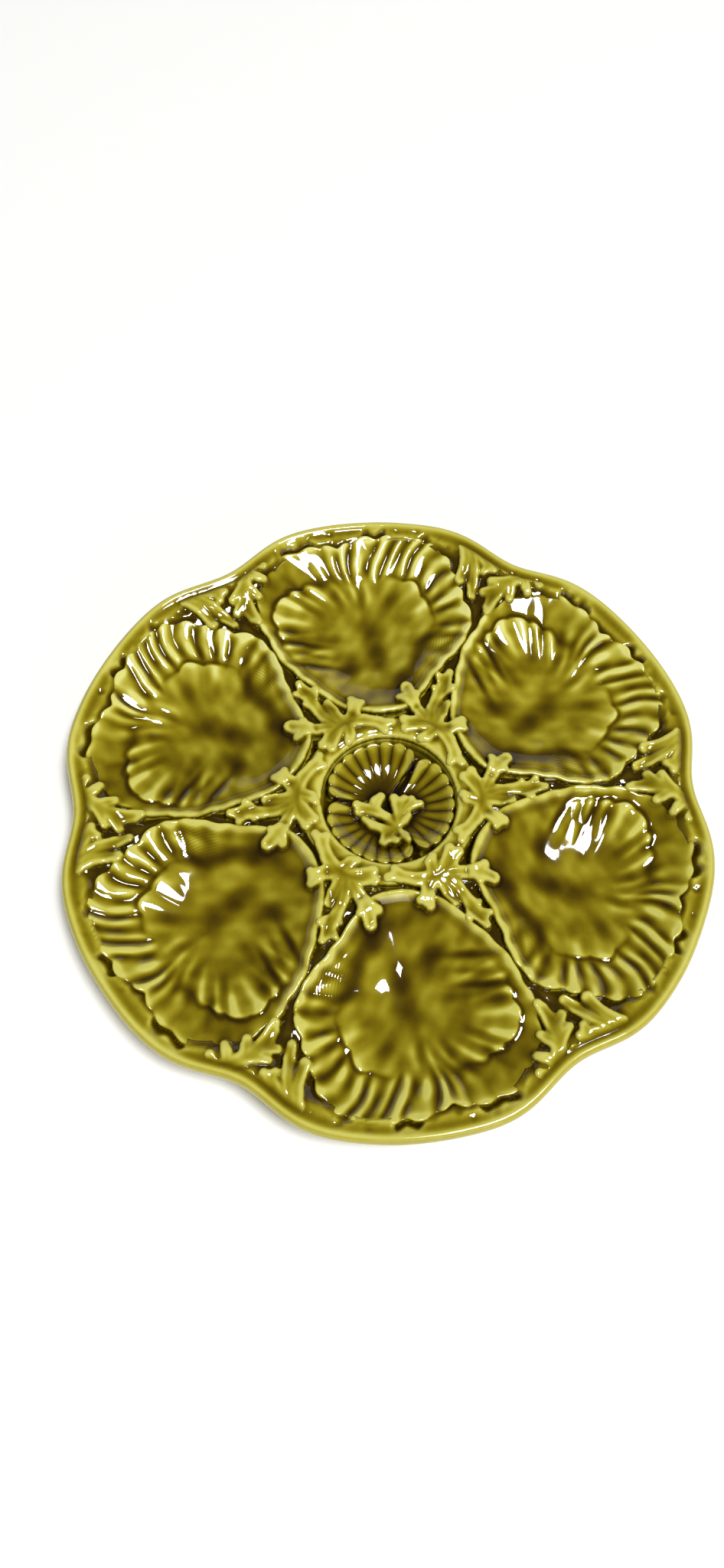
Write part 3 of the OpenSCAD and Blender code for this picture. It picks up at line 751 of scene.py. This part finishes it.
def pool_glaze_and_paint_light(pieces, relief):
    """Stores how thick the glaze lies at each point: thick in hollows, thin on ridges and edges,
    with painted shade on the ground and painted light on the far side of the shells.
    """
    deep, soft = GLAZE_PLAIN, 0.35
    for radius, gain in POOLS:
        deep = deep + gain * (relief.smoothed(radius) - relief.grid)
    deep = blur(np.clip(deep, GLAZE_LEAST, GLAZE_MOST), soft / relief.step)
    for o in pieces:
        mesh = o.data
        x, y, z = points_of(mesh).T.astype(float)
        seen = ease(-1.6, -0.6, z - relief.at(x, y))
        depth = relief.sample(deep, x, y) * seen + GLAZE_HIDDEN * (1 - seen)
        if "pooled" in mesh.attributes:
            pooled = np.empty(len(mesh.vertices), np.float32)
            mesh.attributes["pooled"].data.foreach_get("value", pooled)
            depth = np.clip(depth + POOLED_GAIN * pooled, GLAZE_LEAST, GLAZE_MOST)
        r = np.hypot(x, y)
        # fans and cup have more glaze towards the middle, and the cup has less at its wall
        if o.name.startswith("glazed_scallop_fan"):
            depth = depth + (0.2 + ease(16, 6, r)) * seen
        if o.name == "glazed_sauce_cup":
            more = 1.2 * ease(16, 6, r) - 0.8 * ease(22, 24, r)
            depth = depth + np.maximum(more, 0.4 - depth) * seen
        # the ground has more glaze than the rim, partly glaze gathered in the low ground and partly
        # painted shade between the raised parts, and the rim's outer edge is plain
        if o.name == "glazed_plate_body":
            inward = in_from_edge(x, y)
            depth = np.minimum(depth + 0.7 * ease(7, 10, inward) * seen, 2.3)
            depth = depth + (GLAZE_EDGE - depth) * ease(1.8, 0.8, inward) * ease(15, 16.5, z)
        # painted light: the shells' glaze is made a little thinner, so paler, towards +Y, the far
        # side, as if that side were more brightly lit
        if o.name.startswith("glazed_oyster_shell"):
            depth = depth - 0.12 * ease(0, 70, y) * seen
        # almost none is left where the plate stands
        store(mesh, "glaze_depth", np.maximum(depth - 0.06, 0.05) * ease(-0.1, 0.5, z) + 0.02)


# ---- laying copies round the plate ----
# Handwork: range of a point's shift in metres, and the noise's scale and seed
UNEVEN, UNEVEN_SCALE, UNEVEN_SEED = 0.0005, 45, 3.0


def lay_tree():
    """Geometry nodes that turn a moulded piece to its place and make it as uneven as handwork."""
    tree = bpy.data.node_groups.new("lay_round_plate", "GeometryNodeTree")
    face = tree.interface
    face.new_socket("Geometry", in_out="INPUT", socket_type="NodeSocketGeometry")
    turn = face.new_socket("Turn", in_out="INPUT", socket_type="NodeSocketFloat")
    uneven = face.new_socket("Unevenness", in_out="INPUT", socket_type="NodeSocketFloat")
    seed = face.new_socket("Seed", in_out="INPUT", socket_type="NodeSocketFloat")
    glaze = face.new_socket("Glaze", in_out="INPUT", socket_type="NodeSocketMaterial")
    face.new_socket("Geometry", in_out="OUTPUT", socket_type="NodeSocketGeometry")
    add, link = tree.nodes.new, tree.links.new
    inlet, outlet = add("NodeGroupInput"), add("NodeGroupOutput")
    spin, place = add("ShaderNodeCombineXYZ"), add("GeometryNodeTransform")
    link(inlet.outputs["Turn"], spin.inputs["Z"])
    link(inlet.outputs["Geometry"], place.inputs["Geometry"])
    link(spin.outputs[0], place.inputs["Rotation"])
    noise = add("ShaderNodeTexNoise")
    noise.noise_dimensions = "4D"
    noise.inputs["Scale"].default_value = UNEVEN_SCALE
    noise.inputs["Detail"].default_value = 0
    where = add("GeometryNodeInputPosition")
    link(where.outputs[0], noise.inputs["Vector"])
    link(inlet.outputs["Seed"], noise.inputs["W"])
    centred, scaled = add("ShaderNodeVectorMath"), add("ShaderNodeVectorMath")
    centred.operation, scaled.operation = "SUBTRACT", "SCALE"
    centred.inputs[1].default_value = (0.5, 0.5, 0.5)
    link(noise.outputs["Color"], centred.inputs[0])
    link(centred.outputs[0], scaled.inputs[0])
    link(inlet.outputs["Unevenness"], scaled.inputs["Scale"])
    shift, real = add("GeometryNodeSetPosition"), add("GeometryNodeRealizeInstances")
    paint = add("GeometryNodeSetMaterial")
    link(place.outputs[0], shift.inputs["Geometry"])
    link(scaled.outputs[0], shift.inputs["Offset"])
    link(shift.outputs[0], real.inputs[0])
    link(real.outputs[0], paint.inputs["Geometry"])
    link(inlet.outputs["Glaze"], paint.inputs["Material"])
    link(paint.outputs[0], outlet.inputs[0])
    sockets = {"turn": turn, "uneven": uneven, "seed": seed, "glaze": glaze}
    return tree, {name: socket.identifier for name, socket in sockets.items()}


LAY_TREE, LAY_INPUT = lay_tree()


def lay(name, master, turn, glaze, uneven=UNEVEN):
    """Piece made from a master mesh, turned to the left about the plate's axis."""
    source = bpy.data.objects.new(name, master)
    bpy.context.scene.collection.objects.link(source)
    modifier = source.modifiers.new("lay", "NODES")
    modifier.node_group = LAY_TREE
    modifier[LAY_INPUT["turn"]] = float(turn)
    modifier[LAY_INPUT["uneven"]] = float(uneven)
    modifier[LAY_INPUT["seed"]] = UNEVEN_SEED
    modifier[LAY_INPUT["glaze"]] = glaze
    ready = source.evaluated_get(bpy.context.evaluated_depsgraph_get())
    mesh = bpy.data.meshes.new_from_object(ready)
    mesh.name = name
    bpy.data.objects.remove(source)
    piece = bpy.data.objects.new(name, mesh)
    bpy.context.scene.collection.objects.link(piece)
    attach(piece, "root")
    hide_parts(name.removeprefix("glazed_"))
    return piece


# ---- glaze ----
# Refraction of the glaze, height of its waves in metres, and the mean of the noises that cloud it
GLAZE_IOR, WAVE_H, CLOUD_MIDDLE = 1.56, 0.0004, 0.75


def pooled_glaze():
    """Colour and normal of a clear coloured glaze on pale clay, darker where it is thicker."""
    group = bpy.data.node_groups.new("pooled_glaze", "ShaderNodeTree")
    face = group.interface
    for name, kind, value in (
        ("Clay", "NodeSocketColor", (0.97, 0.98, 0.57, 1)),
        ("Tint", "NodeSocketColor", (0.237, 0.182, 0.0085, 1)),
        ("Thickness", "NodeSocketFloat", 1.0),
        ("Mottle", "NodeSocketFloat", 0.3),
        ("Wave", "NodeSocketFloat", 0.03),
    ):
        face.new_socket(name, in_out="INPUT", socket_type=kind).default_value = value
    face.new_socket("Colour", in_out="OUTPUT", socket_type="NodeSocketColor")
    face.new_socket("Normal", in_out="OUTPUT", socket_type="NodeSocketVector")
    add, link = group.nodes.new, group.links.new
    inlet, outlet = add("NodeGroupInput"), add("NodeGroupOutput")

    def math_node(operation, a, b):
        node = add("ShaderNodeMath")
        node.operation = operation
        for socket, value in zip(node.inputs, (a, b)):
            if isinstance(value, bpy.types.NodeSocket):
                link(value, socket)
            else:
                socket.default_value = value
        return node.outputs[0]

    where = add("ShaderNodeTexCoord").outputs["Object"]

    def noise(scale, detail):
        node = add("ShaderNodeTexNoise")
        node.inputs["Scale"].default_value = scale
        node.inputs["Detail"].default_value = detail
        link(where, node.inputs["Vector"])
        return node.outputs["Fac"]

    # thickness of the glaze, with the painted shade on the ground and the painted light on the
    # shells' far side in it
    stored = add("ShaderNodeAttribute")
    stored.attribute_name = "glaze_depth"
    specks = math_node("MULTIPLY", noise(scale=420, detail=2), 0.5)
    cloudy = math_node("ADD", noise(scale=55, detail=3), specks)
    cloudy = math_node("SUBTRACT", cloudy, CLOUD_MIDDLE)
    cloudy = math_node("MULTIPLY", cloudy, inlet.outputs["Mottle"])
    depth = math_node("MULTIPLY", stored.outputs["Fac"], inlet.outputs["Thickness"])
    depth = math_node("MULTIPLY", depth, math_node("ADD", cloudy, 1.0))
    tint, clay = add("ShaderNodeSeparateColor"), add("ShaderNodeSeparateColor")
    mix = add("ShaderNodeCombineColor")
    link(inlet.outputs["Tint"], tint.inputs[0])
    link(inlet.outputs["Clay"], clay.inputs[0])
    for k in range(3):
        passed = math_node("POWER", tint.outputs[k], depth)
        link(math_node("MULTIPLY", passed, clay.outputs[k]), mix.inputs[k])
    link(mix.outputs[0], outlet.inputs["Colour"])
    waves = add("ShaderNodeBump")
    waves.inputs["Distance"].default_value = WAVE_H
    link(inlet.outputs["Wave"], waves.inputs["Strength"])
    link(noise(scale=160, detail=1), waves.inputs["Height"])
    link(waves.outputs[0], outlet.inputs["Normal"])
    return group


GLAZE_GROUP = pooled_glaze()


def glaze_material(name, thickness, mottle, wave, roughness):
    """Glossy material with the pooled glaze."""
    material = bpy.data.materials.new(name)
    material.use_nodes = True
    nodes, links = material.node_tree.nodes, material.node_tree.links
    shader = nodes["Principled BSDF"]
    shader.inputs["Roughness"].default_value = roughness
    shader.inputs["IOR"].default_value = GLAZE_IOR
    group = nodes.new("ShaderNodeGroup")
    group.node_tree = GLAZE_GROUP
    for socket, value in (("Thickness", thickness), ("Mottle", mottle), ("Wave", wave)):
        group.inputs[socket].default_value = value
    links.new(group.outputs["Colour"], shader.inputs["Base Color"])
    links.new(group.outputs["Normal"], shader.inputs["Normal"])
    return material


GLAZE_BODY = glaze_material(
    "olive_glaze_ground", thickness=1.0, mottle=0.35, wave=0.04, roughness=0.06)
GLAZE_FOOT = glaze_material(
    "olive_glaze_foot", thickness=0.9, mottle=0.4, wave=0.05, roughness=0.12)
GLAZE_SHELL = glaze_material(
    "olive_glaze_shell", thickness=1.0, mottle=0.3, wave=0.03, roughness=0.05)
GLAZE_RELIEF = glaze_material(
    "olive_glaze_relief", thickness=1.05, mottle=0.25, wave=0.03, roughness=0.05)


# ---- pieces ----
shell = shell_mesh()
fan = fan_mesh()
pieces = [
    lay("glazed_plate_body", body_mesh(), 0, GLAZE_BODY),
    lay("glazed_sauce_cup", cup_mesh(), 0, GLAZE_BODY),
    lay("glazed_twig_ring", ring_mesh(), 0, GLAZE_RELIEF),
]
for k in range(WELLS):
    name = f"glazed_oyster_shell_{k + 1}"
    pieces.append(lay(name, shell, k * SECTOR, GLAZE_SHELL))
for k in range(FANS):
    turn = FAN_TURN + k * TAU / FANS
    pieces.append(lay(f"glazed_scallop_fan_{k + 1}", fan, turn, GLAZE_RELIEF))
bare = Relief(pieces, step=0.5)
ring_sprig = frond_mesh(
    "ring_sprig", RING_FRONDS, plump=0.3, ground=bare, thick=1.0, lowest=(16.6, 19.0))
rim_sprig = frond_mesh("rim_sprig", RIM_FRONDS, plump=0.3, ground=bare, thick=1.2)
for k in range(WELLS):
    for kind, sprig in (("ring", ring_sprig), ("rim", rim_sprig)):
        name = f"glazed_{kind}_sprig_{k + 1}"
        pieces.append(lay(name, sprig, k * SECTOR, GLAZE_RELIEF))
centre_sprig = frond_mesh(
    "centre_sprig", CENTRE_FRONDS, plump=0.0, ground=bare, thick=2.0, lowest=(11.6, 11.6))
pieces.append(lay("glazed_centre_sprig", centre_sprig, 0, GLAZE_RELIEF))
pool_glaze_and_paint_light(pieces, Relief(pieces, step=0.4))
foot = lay("glazed_foot_ring", foot_mesh(), 0, GLAZE_FOOT, uneven=0.0)
pool_glaze_and_paint_light([foot], bare)


# ---- stage, light and camera ----
FLOOR_Z, FLOOR_COLOUR = -0.0002, (0.97, 0.97, 0.97, 1)
SKY_COLOUR, SKY_STRENGTH = (1, 0.97, 0.7, 1), 0.09
PLATE_MIDDLE = (0, 0, 0)


def plain_material(name, colour):
    """Dull material of one colour."""
    material = bpy.data.materials.new(name)
    material.use_nodes = True
    shader = material.node_tree.nodes["Principled BSDF"]
    shader.inputs["Roughness"].default_value = 0.9
    shader.inputs["Specular IOR Level"].default_value = 0.0
    shader.inputs["Base Color"].default_value = colour
    return material


def sweep_mesh():
    """Round floor that bends up into a wall, in metres."""
    n, flat, bend, top = 64, 2.4, 1.4, 1.6
    arc = np.radians(np.linspace(0, 90, 13))
    profile = [(flat + bend * math.sin(a), bend - bend * math.cos(a)) for a in arc]
    profile.append((flat + bend, top))
    turn = np.arange(n) * TAU / n
    points = [(r * math.cos(a), r * math.sin(a), z) for r, z in profile for a in turn]
    faces = [tuple(range(n))]
    for k in range(len(profile) - 1):
        faces += band((k + 1) * n, k * n, n)
    mesh = bpy.data.meshes.new("floor")
    mesh.from_pydata(points, [], faces)
    mesh.shade_smooth()
    return mesh


floor = bpy.data.objects.new("floor", sweep_mesh())
floor.location.z = FLOOR_Z
floor.data.materials.append(plain_material("pale_floor", FLOOR_COLOUR))
bpy.context.scene.collection.objects.link(floor)

scene = bpy.context.scene
scene.view_settings.view_transform = "Standard"
world = bpy.data.worlds.new("studio")
scene.world = world
world.use_nodes = True
sky = world.node_tree.nodes["Background"]
sky.inputs["Color"].default_value = SKY_COLOUR
sky.inputs["Strength"].default_value = SKY_STRENGTH


def softbox(name, place, size, power):
    """Soft lamp that faces the plate."""
    light = bpy.data.lights.new(name, "AREA")
    light.shape = "RECTANGLE"
    light.size, light.size_y = size
    light.energy = power
    holder = bpy.data.objects.new(name, light)
    holder.location = place
    aim = Vector(PLATE_MIDDLE) - Vector(place)
    holder.rotation_euler = aim.to_track_quat("-Z", "Y").to_euler()
    scene.collection.objects.link(holder)


softbox("key_window", place=(0.75, -0.55, 3.15), size=(0.9, 0.78), power=104.0)
softbox("front_card", place=(0.5, -2.7, 1.1), size=(1.6, 0.8), power=9.5)

# Camera fitted to the photograph: focal length, picture size and optical centre in pixels, the
# width of its sensor in millimetres, and its place round the plate with lengths in metres
LENS_PX, FRAME_W, FRAME_H = 1441.7, 946, 2048
CENTRE_PX = (508.5, 1045.6)
SENSOR = 36.0
AZIMUTH, ELEVATION, ROLL = math.radians(-11.1), math.radians(68.03), math.radians(7.63)
DISTANCE, AIM_Z = 0.4094, 0.0165
lens = bpy.data.cameras.new("camera")
lens.sensor_fit = "AUTO"
lens.sensor_width = SENSOR
lens.lens = LENS_PX / FRAME_H * SENSOR
lens.shift_x = -(CENTRE_PX[0] - FRAME_W / 2) / FRAME_H
lens.shift_y = (CENTRE_PX[1] - FRAME_H / 2) / FRAME_H
lens.clip_start, lens.clip_end = 0.01, 20
camera = bpy.data.objects.new("camera", lens)
back = Vector((
    math.sin(AZIMUTH) * math.cos(ELEVATION),
    -math.cos(AZIMUTH) * math.cos(ELEVATION),
    math.sin(ELEVATION),
))
right = Vector((math.cos(AZIMUTH), math.sin(AZIMUTH), 0))
up = back.cross(right)
rolled_right = math.cos(ROLL) * right + math.sin(ROLL) * up
rolled_up = math.cos(ROLL) * up - math.sin(ROLL) * right
turn = Matrix((rolled_right, rolled_up, back)).transposed().to_4x4()
camera.matrix_world = Matrix.Translation(Vector((0, 0, AIM_Z)) + back * DISTANCE) @ turn
scene.collection.objects.link(camera)
scene.camera = camera
